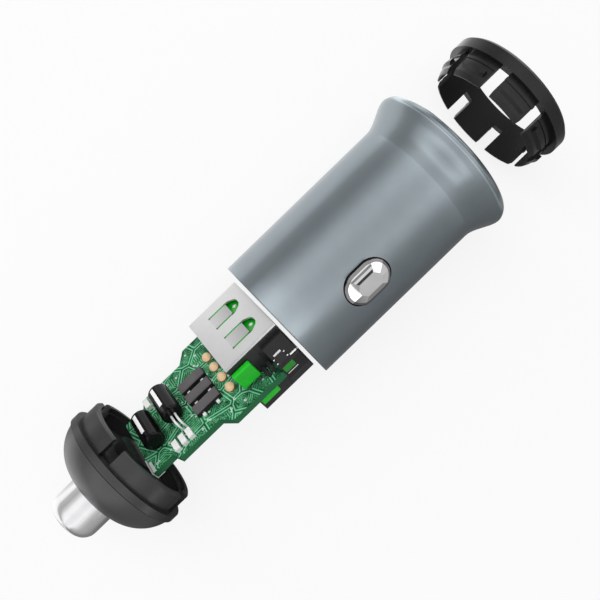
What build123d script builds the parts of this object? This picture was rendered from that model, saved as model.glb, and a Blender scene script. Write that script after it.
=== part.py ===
from build123d import *
import math
import os

# A car USB charger for a 12 V socket, taken apart along its own axis.
# X is the axis of the charger. X = 0 is the rear edge of the barrel, +X runs towards the
# mouth with the snap ring, -X towards the nose and the centre pin. Z is up, sizes in mm.

os.makedirs("parts", exist_ok=True)

# How far the snap ring and the nose cap are drawn off the barrel. The board with its sockets
# is drawn out past the rear edge, from which its places are counted.
ring_taken_off = 13.85
nose_drawn_off = 30.6

# Clearances
running_fit = 0.1
seat_gap = 0.02
spring_play = 0.05

# Barrel
barrel_length = 34.8
shank_radius = 10.5
bore_radius = 9.7
flare_radius = 12.3
flare_length = 4.9
crest_setback = 1.3
lip_radius = 11.9
lip_round = 0.5
rear_edge_round = 0.15

# Snap ring in the mouth
ring_flange_radius = 10.55
ring_flange_thickness = 2.2
ring_face_round = 0.45
claw_count = 8
claw_length = 4.05
claw_outer_radius = 9.5
claw_wall = 0.6
claw_gap = 1.85
claw_gap_angle = -17
claw_bead_height = 0.15
claw_bead_width = 0.5
claw_bead_place = 0.55
barb_radius = 9.95
barb_start = 1.75
barb_length = 1.35
barb_gap = 3.4
claw_tip_taper = 0.35

# Sprung side contacts
contact_place = 12.6
contact_angle = 28.5
contact_hole_length = 7.7
contact_hole_width = 5.6
contact_height = 1.0
contact_travel = 1.0
contact_top_length = 3.9
contact_top_width = 2.3
contact_bevel_height = 1.15
contact_flange_lip = 0.7
contact_flange_thickness = 0.4
contact_sheet = 0.6

# Ground spring, a strip that runs round the bore behind both side contacts
strip_thickness = 0.25
strip_width = 2.6
strip_flat_half_width = 4.0
strip_return_angle = 40
strip_open_angle = 24

# Nose cap. Distances along it are counted from its seat on the barrel towards the tip.
collar_height = 3.1
collar_wall = 1.4
collar_notch_width = 2.2
collar_notch_count = 4
collar_notch_angle = 16.5
collar_step_height = 0.8
collar_step_depth = 0.45
nose_flange_thickness = 1.2
nose_crease_width = 0.18
nose_crease_depth = 0.35
dome_length = 5.25
dome_tip_radius = 4.75
dome_wall = 1.3
guide_ledge = 1.0
guide_ledge_width = 1.1

# Centre pin
pin_radius = 4.0
pin_reach = 12.9
pin_tip_round = 2.3
pin_shoulder_width = 0.75
pin_shoulder_thickness = 1.1
pin_travel = 2.5
pin_wall = 0.9
pin_tip_wall = 1.6

# Pin spring and the guide that it stands on
spring_wire = 0.5
spring_turns = 5
guide_thickness = 1.4
guide_peg_radius = 1.5
guide_peg_length = 1.6
guide_boss_radius = 3.4
tail_gap = 0.3

# Circuit board. Places on it are counted back from the rear edge of the barrel and across
# the board, where + is the edge that lies higher.
board_turn = 47
board_thickness = 1.2
board_front = 4.4
board_width = 18.5
board_waist_width = 14.5
board_tail_width = 11.7
board_wide_end = 14.0
board_waist_start = 15.7
board_waist_end = 23.5
board_tail_start = 24.1
board_end = 27.9

# USB-A sockets, one on each face of the board
port_front = 0.6
port_length = 9.5
port_width = 13.1
port_height = 5.1
port_sheet = 0.3
port_edge_round = 0.4
tab_pitch = 5.4
tab_width = 2.5
tab_slit = 0.3
tab_root = 6.6
tab_tip = 3.3
tab_window_tip = 1.6
tab_window_nose = 1.5
tongue_width = 11.1
tongue_thickness = 1.9
tongue_drop = 0.75
tongue_setback = 1.1
tongue_block_length = 1.5
blade_width = 1.0
blade_thickness = 0.2
blade_setback = 0.7
blade_spacing = (-3.5, -1.0, 1.0, 3.5)

# Port frame, the black moulding in front of the board that the two sockets sit on
frame_front = 0.8
frame_edge_height = 2.6
frame_width = 18.6
frame_cheek = 0.55
frame_cheek_height = 9.0
frame_slot_drop = 0.85
frame_slot_width = 0.4
frame_slot_length = 1.25
frame_slot_depth = 0.5

# Capacitors, lying across the board
can_radius = 1.65
can_length = 6.0
can_end_round = 0.35
rear_can_place = 24.75
rear_can_offset = 0.2
front_can_place = 20.4
front_can_offset = -1.3
can_lift = 0.1
lead_radius = 0.18
lead_spacing = 0.7
lead_reach = 1.9
lead_bend = 0.9

# Driver chips
chip_length = 4.6
chip_width = 1.9
chip_height = 1.0
chip_place = 15.5
chip_first_offset = -2.1
chip_pitch = 2.75
chip_count = 3
chip_leg_width = 0.5
chip_leg_spacing = 2.7
chip_leg_reach = 0.5
chip_tab_reach = 0.2

# Solder joints of the upper socket
joint_radius = 0.9
joint_height = 0.45
joint_place = 11.6
joint_first_offset = -4.1
joint_pitch = 2.7
joint_count = 4

# Small chip resistors
resistor_length = 1.9
resistor_width = 0.9
resistor_height = 0.75
resistor_offset = 5.5
resistor_places = (20.15, 21.45, 22.8)
edge_resistor_offset = -5.4
edge_resistor_place = 23.1

# Green fuses, one upright beside the upper socket and one flat under the board
fuse_length = 3.2
fuse_thickness = 1.0
fuse_height = 3.1
fuse_lift = 1.0
fuse_place = 8.4
fuse_round = 0.2
fuse_leg_radius = 0.25
fuse_leg_spacing = 2.0
flat_fuse_width = 2.2
flat_fuse_height = 1.3
flat_fuse_place = 8.0
flat_fuse_inset = 0.3

# Sense chip on the sloping face of the port frame
sense_chip_length = 1.6
sense_chip_width = 1.3
sense_chip_height = 0.45
sense_chip_place = 3.25
sense_chip_drop = 0.68

# Tinned strip at the end of the tail
tail_strip_length = 3.0
tail_strip_offset = 4.3
tail_strip_thickness = 0.2
tail_strip_leg = 1.2

# Choke coil under the board
coil_radius = 3.2
coil_height = 3.4
coil_flange_thickness = 0.6
coil_flange_chamfer = 0.15
coil_post_radius = 1.5
coil_winding_radius = 2.85
coil_winding_bevel = 0.25
coil_place = 18.9
coil_offset = -2.6


def turned(points):
    """A solid of revolution about X, from (x, radius) points."""
    outline = Polyline(*[(x, radius) for x, radius in points], close=True)
    return revolve(make_face(outline), Axis.X)


def ring_box(x_from, x_to, width, reach, angle):
    """A radial slot cutter that starts on the axis and points up, turned about X."""
    middle = (x_from + x_to) / 2
    block = Box(x_to - x_from, width, reach, align=(Align.CENTER, Align.CENTER, Align.MIN))
    return Rot(X=angle) * Pos(middle, 0, 0) * block


def oval(length, width, height):
    """A racetrack prism along X that stands on z = 0."""
    return extrude(SlotOverall(length, width), height)


def save(solid, name):
    solid.label = name
    export_step(solid, f"parts/{name}.step")


# Barrel: a turned metal tube with a bell mouth, a seat and a snap groove for the ring
def make_barrel():
    seat_depth = ring_flange_thickness
    seat_radius = ring_flange_radius + running_fit
    flare_crest = barrel_length - crest_setback
    flare_start = flare_crest - flare_length
    with BuildPart() as body:
        with BuildSketch(Plane.XY):
            with BuildLine():
                start = (0, bore_radius)
                Polyline(start, (0, shank_radius), (flare_start, shank_radius))
                flare = Spline(
                    (flare_start, shank_radius),
                    (flare_crest, flare_radius),
                    tangents=[(1, 0), (1, 0.12)],
                    tangent_scalars=[1.0, 0.7],
                )
                lip = Spline(
                    flare @ 1,
                    (barrel_length, lip_radius - lip_round),
                    tangents=[(1, 0.12), (-0.3, -1)],
                    tangent_scalars=[1.0, 0.8],
                )
                Polyline(
                    lip @ 1,
                    (barrel_length, seat_radius),
                    (barrel_length - seat_depth, seat_radius),
                    (barrel_length - seat_depth, bore_radius),
                    start,
                )
            make_face()
        revolve(axis=Axis.X)
    barrel = body.part
    groove_front = barrel_length - seat_depth - barb_start + running_fit
    groove_rear = groove_front - barb_length - 2 * running_fit
    groove_radius = barb_radius + running_fit
    barrel -= turned([
        (groove_rear, bore_radius - running_fit),
        (groove_rear, groove_radius),
        (groove_front, groove_radius),
        (groove_front, bore_radius - running_fit),
    ])
    hole = Pos(contact_place, 0, 0) * oval(contact_hole_length, contact_hole_width, shank_radius * 2)
    for side in (0, 180):
        barrel -= Rot(X=contact_angle + side) * hole
    rear_rim = barrel.edges().filter_by(GeomType.CIRCLE).group_by(Axis.X)[0]
    return fillet(rear_rim, rear_edge_round)


# Side contact: a pressed oval button with bevelled facets and a flange inside the wall
def make_side_contact(angle):
    play = running_fit
    length = contact_hole_length - 2 * play
    width = contact_hole_width - 2 * play
    top = shank_radius + contact_height
    bevel_foot = top - contact_bevel_height
    flange_top = bore_radius - spring_play
    flange_foot = flange_top - contact_flange_thickness
    top_slope = contact_top_width / 2
    facets = loft([
        Plane.XY.offset(bevel_foot) * Polygon(
            (-length / 2, -width / 6), (-length / 3, -width / 2), (length / 3, -width / 2),
            (length / 2, -width / 6), (length / 2, width / 6), (length / 3, width / 2),
            (-length / 3, width / 2), (-length / 2, width / 6), align=None),
        Plane.XY.offset(top) * Polygon(
            (-contact_top_length / 2, -top_slope / 4), (-contact_top_length / 3, -top_slope),
            (contact_top_length / 3, -top_slope), (contact_top_length / 2, -top_slope / 4),
            (contact_top_length / 2, top_slope / 4), (contact_top_length / 3, top_slope),
            (-contact_top_length / 3, top_slope), (-contact_top_length / 2, top_slope / 4),
            align=None),
    ])
    skirt = oval(length, width, bevel_foot)
    button = skirt + (facets & oval(length, width, top))
    lip = contact_flange_lip
    band = oval(length + 2 * lip, width + 2 * lip, top)
    shell = Rot(Y=90) * (Cylinder(flange_top, length * 2) - Cylinder(flange_foot, length * 2))
    flange = band & shell
    inner = Rot(Y=90) * Cylinder(flange_foot, length * 2)
    button = (button - inner) + flange
    hollow = oval(length - 2 * contact_sheet, width - 2 * contact_sheet, bevel_foot)
    button -= hollow
    return Rot(X=angle) * Pos(contact_place, 0, 0) * button


# Ground spring: a strip bent round the bore with a flat behind each contact
def make_ground_spring():
    middle_radius = bore_radius - running_fit - strip_thickness / 2
    flange_foot = bore_radius - spring_play - contact_flange_thickness
    flange_half_width = contact_hole_width / 2 - running_fit + contact_flange_lip
    flange_edge = math.sqrt(flange_foot ** 2 - flange_half_width ** 2)
    flat_height = flange_edge - contact_travel - spring_play - strip_thickness / 2

    def on_ring(angle):
        turn = math.radians(angle)
        return (middle_radius * math.sin(turn), middle_radius * math.cos(turn))

    def arc(start, end):
        return ThreePointArc(on_ring(start), on_ring((start + end) / 2), on_ring(end))

    turn = strip_return_angle
    half = strip_flat_half_width
    path = [
        arc(180 - turn, turn),
        Polyline(on_ring(turn), (half, flat_height), (-half, flat_height), on_ring(-turn)),
        arc(-turn, -90 + strip_open_angle / 2),
        arc(-90 - strip_open_angle / 2, -180 + turn),
        Polyline(on_ring(-180 + turn), (-half, -flat_height), (half, -flat_height),
                 on_ring(180 - turn)),
    ]
    strip = None
    for piece in path:
        for edge in piece.edges():
            flat = trace(edge, strip_thickness)
            strip = flat if strip is None else strip + flat
    across = Plane((contact_place - strip_width / 2, 0, 0), x_dir=(0, -1, 0), z_dir=(1, 0, 0))
    return Rot(X=contact_angle) * extrude(across * strip, strip_width)


# Snap ring: a flange with eight sprung claws, each with a bead and a barb
def make_front_ring():
    face = barrel_length + ring_taken_off
    ring_inner_radius = claw_outer_radius - claw_wall
    back = face - ring_flange_thickness
    tip = back - claw_length
    ring = turned([
        (back, ring_inner_radius), (back, ring_flange_radius),
        (face - ring_face_round, ring_flange_radius),
        (face, ring_flange_radius - ring_face_round), (face, ring_inner_radius),
    ])
    bead_front = back - claw_bead_place
    bead_radius = claw_outer_radius + claw_bead_height
    claws = turned([
        (tip, ring_inner_radius), (tip, claw_outer_radius - claw_tip_taper),
        (tip + claw_tip_taper * 2, claw_outer_radius),
        (bead_front - claw_bead_width, claw_outer_radius),
        (bead_front - claw_bead_width, bead_radius), (bead_front, bead_radius),
        (bead_front, claw_outer_radius), (back, claw_outer_radius), (back, ring_inner_radius),
    ])
    barb_front = back - barb_start
    barb_rear = barb_front - barb_length
    root = claw_outer_radius - claw_tip_taper
    barbs = turned([
        (barb_rear, root), (barb_rear + barb_length * 0.55, barb_radius),
        (barb_front, barb_radius), (barb_front, root),
    ])
    pitch = 360 / claw_count
    for number in range(claw_count):
        angle = claw_gap_angle + number * pitch
        claws -= ring_box(tip - 1, back, claw_gap, shank_radius * 2, angle)
        barbs -= ring_box(tip - 1, back, barb_gap, shank_radius * 2, angle)
    return ring + claws + barbs


# Nose cap: flange, notched collar that enters the barrel, and a domed end
def make_nose_cap():
    collar_radius = bore_radius - running_fit
    inner_radius = collar_radius - collar_wall
    dome_start = nose_flange_thickness + nose_crease_width
    dome_end = dome_start + dome_length
    dome_radius = shank_radius - nose_crease_depth
    stretch = dome_length / math.sqrt(1 - (dome_tip_radius / dome_radius) ** 2)

    def on_dome(share, wall):
        angle = share * math.asin(dome_length / stretch)
        return (dome_start + (stretch - wall) * math.sin(angle),
                (dome_radius - wall) * math.cos(angle))

    with BuildPart() as body:
        with BuildSketch(Plane.XY):
            with BuildLine():
                top = Polyline(
                    (-collar_height, inner_radius + collar_step_depth),
                    (-collar_height, collar_radius - 0.25), (-collar_height + 0.25, collar_radius),
                    (0, collar_radius), (0, shank_radius),
                    (nose_flange_thickness, shank_radius),
                    (nose_flange_thickness, dome_radius - nose_crease_depth),
                    (dome_start, dome_radius - nose_crease_depth), (dome_start, dome_radius),
                )
                dome = ThreePointArc(on_dome(0, 0), on_dome(0.5, 0), on_dome(1, 0))
                inside = ThreePointArc(on_dome(0.9, dome_wall), on_dome(0.5, dome_wall),
                                       on_dome(0.12, dome_wall))
                Polyline(dome @ 1, (dome_end, pin_radius + running_fit),
                         (on_dome(0.9, dome_wall)[0], pin_radius + running_fit), inside @ 0)
                Polyline(
                    inside @ 1, (guide_ledge, inner_radius - guide_ledge_width),
                    (guide_ledge, inner_radius),
                    (-collar_height + collar_step_height, inner_radius),
                    (-collar_height + collar_step_height, inner_radius + collar_step_depth),
                    (-collar_height, inner_radius + collar_step_depth),
                )
            make_face()
        revolve(axis=Axis.X)
    cap = body.part
    for number in range(collar_notch_count):
        angle = collar_notch_angle + number * 360 / collar_notch_count
        cap -= ring_box(-collar_height - 1, 0, collar_notch_width, shank_radius * 2, angle)
    return on_nose(cap)


def on_nose(solid):
    """Turns a nose piece round so that its tip points to -X, and draws it off the barrel."""
    return Pos(-nose_drawn_off, 0, 0) * Rot(Z=180) * solid


# Centre pin: a hollow contact with a rounded end and a shoulder that the cap holds back
def pin_seat():
    """The distance of the cap's inner end face, where the shoulder rests."""
    dome_start = nose_flange_thickness + nose_crease_width
    dome_radius = shank_radius - nose_crease_depth
    stretch = dome_length / math.sqrt(1 - (dome_tip_radius / dome_radius) ** 2)
    return dome_start + (stretch - dome_wall) * math.sin(0.9 * math.asin(dome_length / stretch))


def make_centre_pin():
    seat = pin_seat() - spring_play
    foot = seat - pin_shoulder_thickness
    shoulder = pin_radius + pin_shoulder_width
    hollow = pin_radius - pin_wall
    floor = pin_reach - pin_tip_wall
    pin = turned([
        (foot, hollow), (foot, shoulder), (seat, shoulder), (seat, pin_radius),
        (pin_reach, pin_radius), (pin_reach, 0), (floor, 0), (floor, hollow),
    ])
    tip_edge = pin.edges().filter_by(GeomType.CIRCLE).group_by(Axis.X)[-1]
    return on_nose(fillet(tip_edge, pin_tip_round))


# Pin spring: a coil drawn at its pressed length, standing on the guide
def make_pin_spring():
    foot = guide_ledge + seat_gap + spring_wire / 2
    head = pin_reach - pin_tip_wall - pin_travel - spring_play - spring_wire / 2
    radius = guide_peg_radius + running_fit + spring_wire / 2
    coil = Helix((head - foot) / spring_turns, head - foot, radius)
    section = Plane(coil @ 0, z_dir=coil % 0) * Circle(spring_wire / 2)
    wire = sweep(section, coil, is_frenet=True)
    return on_nose(Pos(foot, 0, 0) * Rot(Y=90) * wire)


# Spring guide: a disc on the ledge of the nose cap, with a peg and a boss for the tail
def make_spring_guide():
    radius = bore_radius - running_fit - collar_wall - running_fit
    face = guide_ledge - seat_gap
    peg_end = guide_ledge + guide_peg_length
    disc_back = face - guide_thickness
    tail_end = board_end - nose_drawn_off
    boss_end = tail_end + seat_gap + tail_strip_thickness + tail_gap
    guide = turned([
        (boss_end, 0), (boss_end, guide_boss_radius), (disc_back, guide_boss_radius),
        (disc_back, radius), (face, radius), (face, guide_peg_radius),
        (peg_end, guide_peg_radius), (peg_end, 0),
    ])
    return on_nose(guide)


# Everything on the board is built flat and laid on it afterwards
half_board = board_thickness / 2


def on_board(solid):
    return Rot(X=-board_turn) * solid


def at(place, offset, height=half_board):
    """A place on the board: back from the front, across, and above the middle plane."""
    return Pos(-place, -offset, height)


def standing(length, width, height):
    return Box(length, width, height, align=(Align.CENTER, Align.CENTER, Align.MIN))


def make_circuit_board():
    wide = board_width / 2
    waist = board_waist_width / 2
    tail = board_tail_width / 2
    side = [
        (-board_front, wide), (-board_wide_end, wide), (-board_waist_start, waist),
        (-board_waist_end, waist), (-board_tail_start, tail), (-board_end, tail),
    ]
    other = [(x, -y) for x, y in reversed(side)]
    outline = make_face(Polyline(*side, *other, close=True))
    plate = extrude(Pos(0, 0, -half_board) * outline, board_thickness)
    return on_board(plate)


# USB socket: a folded metal shell with two spring tabs, a green tongue and four blades
def port_shell():
    outer = standing(port_length, port_width, port_height)
    outer = fillet(outer.edges().filter_by(Axis.X), port_edge_round)
    hollow = Pos(port_sheet / 2, 0, port_sheet) * standing(
        port_length - port_sheet, port_width - 2 * port_sheet, port_height - 2 * port_sheet)
    shell = Pos(-port_front - port_length / 2, 0, 0) * (outer - hollow)
    edge = tab_width / 2
    rim = edge + tab_slit
    window = make_face(Polyline(
        (-port_front - tab_root, rim), (-port_front - tab_tip + 0.4, rim),
        (-port_front - tab_window_tip - 0.3, tab_window_nose / 2 + 0.2),
        (-port_front - tab_window_tip, tab_window_nose / 2 - 0.3),
        (-port_front - tab_window_tip, -tab_window_nose / 2 + 0.3),
        (-port_front - tab_window_tip - 0.3, -tab_window_nose / 2 - 0.2),
        (-port_front - tab_tip + 0.4, -rim), (-port_front - tab_root, -rim),
        (-port_front - tab_root, -edge), (-port_front - tab_tip, -edge),
        (-port_front - tab_tip, edge), (-port_front - tab_root, edge), close=True))
    for offset in (-tab_pitch / 2, tab_pitch / 2):
        cutter = extrude(window, port_sheet * 3)
        shell -= Pos(0, offset, port_height - port_sheet * 2) * cutter
    return shell


def port_tongue():
    height = port_height - port_sheet - tongue_drop - tongue_thickness
    back = -port_front - port_length + port_sheet + running_fit
    front = -port_front - tongue_setback
    inside_width = port_width - 2 * port_sheet - 2 * running_fit
    inside_height = port_height - 2 * port_sheet - 2 * running_fit
    block = Pos(back + tongue_block_length / 2, 0, port_sheet + running_fit) * standing(
        tongue_block_length, inside_width, inside_height)
    plate = Pos((back + front) / 2, 0, height) * standing(
        front - back, tongue_width, tongue_thickness)
    plate = chamfer(plate.edges().filter_by(Axis.Y).group_by(Axis.X)[-1], 0.35)
    return block + plate


def port_blades():
    top = port_height - port_sheet - tongue_drop - tongue_thickness - seat_gap
    back = -port_front - port_length + port_sheet + running_fit + tongue_block_length + running_fit
    front = -port_front - tongue_setback - blade_setback
    blade = Pos((back + front) / 2, 0, top - blade_thickness) * standing(
        front - back, blade_width, blade_thickness)
    return Compound([Pos(0, offset, 0) * blade for offset in blade_spacing])


def on_upper_face(solid):
    return on_board(Pos(0, 0, half_board + seat_gap) * solid)


def on_lower_face(solid):
    return on_board(Rot(X=180) * Pos(0, 0, half_board + seat_gap) * solid)


# Port frame: a web between the two sockets with a wing at each side. Each wing has a cheek
# beside the sockets, and slopes down from it to the rim.
def frame_slope():
    """The slope's upper and lower edge, as (across, height)."""
    inner = port_width / 2 + running_fit + frame_cheek
    return (inner, frame_cheek_height / 2), (frame_width / 2, frame_edge_height / 2)


def on_slope(solid, place, drop):
    """Lays a piece on the slope of the higher wing, that share of the way down it."""
    (inner, top), (outer, bottom) = frame_slope()
    tilt = math.degrees(math.atan2(top - bottom, outer - inner))
    spot = at(place, inner + (outer - inner) * drop, top + (bottom - top) * drop)
    return spot * Rot(X=tilt) * solid


def make_port_frame():
    length = board_front - seat_gap - frame_front
    (inner, top), (outer, bottom) = frame_slope()
    wing_foot = port_width / 2 + running_fit
    outline = make_face(Polyline(
        (wing_foot, -top), (inner, -top), (outer, -bottom), (outer, bottom), (inner, top),
        (wing_foot, top), close=True))
    profile = outline + mirror(outline, Plane.YZ) + Rectangle(port_width + 1, board_thickness)
    across = Plane((-frame_front, 0, 0), x_dir=(0, -1, 0), z_dir=(-1, 0, 0))
    frame = extrude(across * profile, length)
    slot = Box(frame_slot_length * 2, frame_slot_width, frame_slot_depth * 2)
    return on_board(frame - on_slope(slot, frame_front, frame_slot_drop))


# Capacitors: plain sleeves with rounded ends
def make_can(place, offset):
    can = Rot(X=90) * Cylinder(can_radius, can_length)
    can = fillet(can.edges().filter_by(GeomType.CIRCLE), can_end_round)
    return on_board(at(place, offset, half_board + can_lift + can_radius) * can)


def make_can_leads():
    end = front_can_offset + can_length / 2 + seat_gap
    height = half_board + can_lift + can_radius
    drop_to = half_board + seat_gap
    leads = []
    for side in (-0.5, 0.5):
        place = front_can_place + side * lead_spacing
        path = FilletPolyline(
            (-place, -end, height), (-place, -end - lead_reach, height),
            (-place, -end - lead_reach, drop_to), radius=lead_bend)
        section = Plane(path @ 0, z_dir=path % 0) * Circle(lead_radius)
        leads.append(on_board(sweep(section, path)))
    return Compound(leads)


# Driver chips, each with two legs that reach further out on the side that lies higher
def make_chip(number):
    offset = chip_first_offset + number * chip_pitch
    body = chamfer(standing(chip_length, chip_width, chip_height).edges().group_by(Axis.Z)[-1], 0.12)
    chip = at(chip_place, offset, half_board + seat_gap) * body
    for side in (-0.5, 0.5):
        leg_width = chip_width + chip_leg_reach + chip_tab_reach
        leg = standing(chip_leg_width, leg_width, chip_height / 3)
        leg_offset = offset + (chip_leg_reach - chip_tab_reach) / 2
        chip += at(chip_place + side * chip_leg_spacing, leg_offset, half_board + seat_gap) * leg
    return on_board(chip)


def make_solder_joints():
    ball = (joint_radius ** 2 + joint_height ** 2) / (2 * joint_height)
    cap = Pos(0, 0, joint_height - ball) * Sphere(ball)
    cap &= standing(joint_radius * 3, joint_radius * 3, joint_height * 2)
    joints = []
    for number in range(joint_count):
        offset = joint_first_offset + number * joint_pitch
        joints.append(on_board(at(joint_place, offset, half_board + seat_gap) * cap))
    return Compound(joints)


def make_chip_resistors():
    body = standing(resistor_width, resistor_length, resistor_height)
    spots = [(place, resistor_offset) for place in resistor_places]
    spots.append((edge_resistor_place, edge_resistor_offset))
    return Compound([
        on_board(at(place, offset, half_board + seat_gap) * body) for place, offset in spots])


# Fuses: one stands on two legs beside the upper socket, one lies under the board
def make_upright_fuse():
    offset = port_width / 2 + running_fit + fuse_thickness / 2
    body = standing(fuse_length, fuse_thickness, fuse_height)
    body = fillet(body.edges(), fuse_round)
    fuse = at(fuse_place, offset, half_board + fuse_lift) * body
    for side in (-0.5, 0.5):
        leg = Cylinder(fuse_leg_radius, fuse_lift - seat_gap + fuse_thickness / 2,
                       align=(Align.CENTER, Align.CENTER, Align.MIN))
        fuse += at(fuse_place + side * fuse_leg_spacing, offset, half_board + seat_gap) * leg
    return on_board(fuse)


def make_flat_fuse():
    offset = board_width / 2 - flat_fuse_inset - flat_fuse_width / 2
    body = standing(fuse_length, flat_fuse_width, flat_fuse_height)
    body = fillet(body.edges().filter_by(Axis.Z), fuse_round)
    return on_board(at(flat_fuse_place, offset, -half_board - seat_gap - flat_fuse_height) * body)


def make_sense_chip():
    body = Pos(0, 0, seat_gap) * standing(sense_chip_length, sense_chip_width, sense_chip_height)
    return on_board(on_slope(body, sense_chip_place, sense_chip_drop))


# Tail strip: a tinned angle, one leg on the end face of the tail and one under the board
def make_tail_strip():
    foot = -half_board - seat_gap - tail_strip_thickness
    end_leg = at(board_end + seat_gap + tail_strip_thickness / 2, tail_strip_offset, foot) * standing(
        tail_strip_thickness, tail_strip_length, half_board - foot)
    under_leg = at(board_end - tail_strip_leg / 2 + seat_gap, tail_strip_offset, foot) * standing(
        tail_strip_leg, tail_strip_length, tail_strip_thickness)
    return on_board(end_leg + under_leg)


# Choke coil of the converter, under the board: a ferrite spool and its winding
def spool(radius, length):
    return Cylinder(radius, length, align=(Align.CENTER, Align.CENTER, Align.MAX))


def make_coil_core():
    core = spool(coil_radius, coil_height)
    groove = spool(coil_radius * 2, coil_height - 2 * coil_flange_thickness)
    post = spool(coil_post_radius, coil_height)
    core -= Pos(0, 0, -coil_flange_thickness) * groove
    core = chamfer(core.edges().filter_by(GeomType.CIRCLE).group_by(Axis.Z)[0], coil_flange_chamfer)
    return on_board(at(coil_place, coil_offset, -half_board - seat_gap) * (core + post))


def make_coil_winding():
    length = coil_height - 2 * coil_flange_thickness - 2 * seat_gap
    winding = spool(coil_winding_radius, length)
    winding = chamfer(winding.edges().filter_by(GeomType.CIRCLE), coil_winding_bevel)
    winding -= spool(coil_post_radius + seat_gap, coil_height)
    height = -half_board - coil_flange_thickness - 2 * seat_gap
    return on_board(at(coil_place, coil_offset, height) * winding)


save(make_barrel(), "barrel")
save(make_side_contact(contact_angle), "side_contact_upper")
save(make_side_contact(contact_angle + 180), "side_contact_lower")
save(make_ground_spring(), "ground_spring")
save(make_front_ring(), "front_ring")
save(make_nose_cap(), "nose_cap")
save(make_centre_pin(), "centre_pin")
save(make_pin_spring(), "pin_spring")
save(make_spring_guide(), "spring_guide")
save(make_circuit_board(), "circuit_board")
save(on_upper_face(port_shell()), "usb_shell_upper")
save(on_lower_face(port_shell()), "usb_shell_lower")
save(on_upper_face(port_tongue()), "usb_tongue_upper")
save(on_lower_face(port_tongue()), "usb_tongue_lower")
save(on_upper_face(port_blades()), "usb_blades_upper")
save(on_lower_face(port_blades()), "usb_blades_lower")
save(make_port_frame(), "port_frame")
save(make_can(rear_can_place, rear_can_offset), "capacitor_rear")
save(make_can(front_can_place, front_can_offset), "capacitor_front")
save(make_can_leads(), "capacitor_leads")
for chip_number in range(chip_count):
    save(make_chip(chip_number), f"driver_chip_{chip_number + 1}")
save(make_solder_joints(), "solder_joints")
save(make_chip_resistors(), "chip_resistors")
save(make_upright_fuse(), "fuse_upright")
save(make_flat_fuse(), "fuse_flat")
save(make_sense_chip(), "sense_chip")
save(make_tail_strip(), "tail_strip")
save(make_coil_core(), "coil_core")
save(make_coil_winding(), "coil_winding")
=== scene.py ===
import math
import random

import bmesh
import bpy
from mathutils import Matrix, Vector


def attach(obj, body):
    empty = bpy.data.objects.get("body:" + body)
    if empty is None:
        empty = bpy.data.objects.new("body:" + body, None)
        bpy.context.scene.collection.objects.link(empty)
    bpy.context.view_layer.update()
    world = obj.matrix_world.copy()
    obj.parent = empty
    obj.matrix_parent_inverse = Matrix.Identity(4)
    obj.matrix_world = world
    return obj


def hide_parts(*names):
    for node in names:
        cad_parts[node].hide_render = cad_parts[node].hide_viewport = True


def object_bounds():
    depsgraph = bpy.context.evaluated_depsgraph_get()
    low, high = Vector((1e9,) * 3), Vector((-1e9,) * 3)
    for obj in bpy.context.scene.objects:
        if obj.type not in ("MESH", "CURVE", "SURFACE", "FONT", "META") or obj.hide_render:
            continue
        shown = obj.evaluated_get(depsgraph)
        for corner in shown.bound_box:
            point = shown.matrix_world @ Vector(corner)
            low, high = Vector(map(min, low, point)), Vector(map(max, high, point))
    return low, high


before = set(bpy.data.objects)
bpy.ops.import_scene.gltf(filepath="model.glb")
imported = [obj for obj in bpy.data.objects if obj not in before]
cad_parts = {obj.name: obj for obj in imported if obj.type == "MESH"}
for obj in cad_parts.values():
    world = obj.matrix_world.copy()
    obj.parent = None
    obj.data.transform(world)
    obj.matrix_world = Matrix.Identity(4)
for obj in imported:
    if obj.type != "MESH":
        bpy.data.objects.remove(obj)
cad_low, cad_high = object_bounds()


# Studio. The charger lies on a white table, taken apart along its axis, and is seen from
# straight above the rear edge of its barrel. A paper tent round it, which only reflections
# show, gives its round pieces their light and dark bands.

MM = 0.001


class Value:
    """A shader socket. Python maths on it adds Math nodes to its tree."""

    def __init__(self, tree, socket):
        self.tree = tree
        self.socket = socket

    def also(self, name):
        """Another output of the same node."""
        return Value(self.tree, self.socket.node.outputs[name])

    def math(self, operation, *others, flipped=False):
        """A Math node of that kind on this value and others."""
        node = self.tree.nodes.new("ShaderNodeMath")
        node.operation = operation
        items = (self,) + others
        for place, item in enumerate(reversed(items) if flipped else items):
            if isinstance(item, Value):
                self.tree.links.new(item.socket, node.inputs[place])
            else:
                node.inputs[place].default_value = item
        return Value(self.tree, node.outputs[0])

    def __add__(self, other):
        return self.math("ADD", other)

    def __radd__(self, other):
        return self.math("ADD", other)

    def __sub__(self, other):
        return self.math("SUBTRACT", other)

    def __rsub__(self, other):
        return self.math("SUBTRACT", other, flipped=True)

    def __mul__(self, other):
        return self.math("MULTIPLY", other)

    def __rmul__(self, other):
        return self.math("MULTIPLY", other)

    def __truediv__(self, other):
        return self.math("DIVIDE", other)

    def __neg__(self):
        return self.math("MULTIPLY", -1.0)

    def __abs__(self):
        return self.math("ABSOLUTE")

    def __lt__(self, other):
        return self.math("LESS_THAN", other)

    def __gt__(self, other):
        return self.math("GREATER_THAN", other)

    def larger(self, other):
        return self.math("MAXIMUM", other)


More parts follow.
